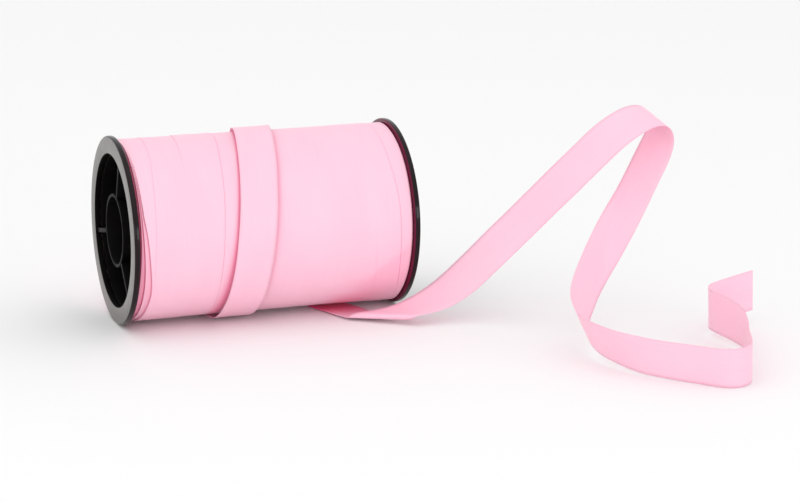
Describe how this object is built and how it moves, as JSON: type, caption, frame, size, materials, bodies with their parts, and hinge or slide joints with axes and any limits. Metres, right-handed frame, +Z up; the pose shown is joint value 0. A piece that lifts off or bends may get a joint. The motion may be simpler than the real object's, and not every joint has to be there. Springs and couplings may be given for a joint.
{
  "type": "roll of gift ribbon",
  "caption": "Full roll of satin gift ribbon on a moulded plastic spool, lying on its side, its free end unwound from below in an arch and a loop.",
  "frame": {"origin": "On the surface that the roll lies on, under the middle of the whole footprint, spool and free end together.", "axes": "X along the spool's axis, towards the side where the free end leaves; Y from front to back; Z up."},
  "size_m": [0.2996, 0.2566, 0.1133],
  "materials": {
    "ribbon": "pink satin-finish gift ribbon, fine streaks along its length, soft sheen",
    "spool_plastic": "black moulded plastic, satin end faces, glossy rounded rims"
  },
  "bodies": {
    "root": {"flange_left": "spool_plastic", "flange_right": "spool_plastic", "barrel": "spool_plastic", "hub": "spool_plastic", "rib_1": "spool_plastic", "rib_2": "spool_plastic", "rib_3": "spool_plastic", "ribbon_winding": "ribbon", "ribbon_last_turn": "ribbon", "ribbon_free_end": "ribbon"}
  },
  "joints": []
}
